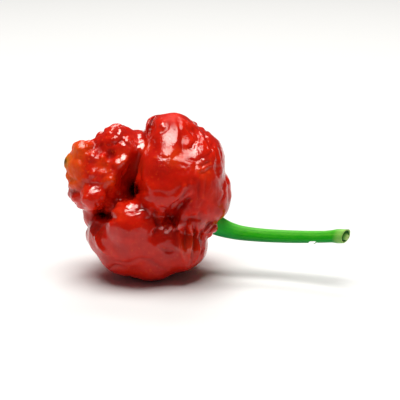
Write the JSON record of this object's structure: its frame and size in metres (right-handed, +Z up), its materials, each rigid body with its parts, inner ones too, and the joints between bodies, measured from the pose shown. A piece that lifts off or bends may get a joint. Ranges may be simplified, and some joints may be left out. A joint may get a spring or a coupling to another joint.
{
  "type": "scorpion pepper",
  "caption": "Ripe wrinkled red hot pepper with a lobed, warty pod, lying on its side on a small flat spot, with its green calyx and cut stem.",
  "frame": {"origin": "centre of the small flat spot on the belly that the fruit rests on", "axes": "+X from the fruit along the stem, +Z up from the surface the fruit rests on, +Y away from the picture's camera"},
  "size_m": [0.0848, 0.0406, 0.0491],
  "materials": {
    "skin": "glossy waxy red pepper skin, orange at the blossom end",
    "calyx": "satin green",
    "stem": "satin green, paler along the top and at the cut end"
  },
  "bodies": {
    "root": {"fruit": "skin", "calyx": "calyx", "stem": "stem"}
  },
  "joints": []
}
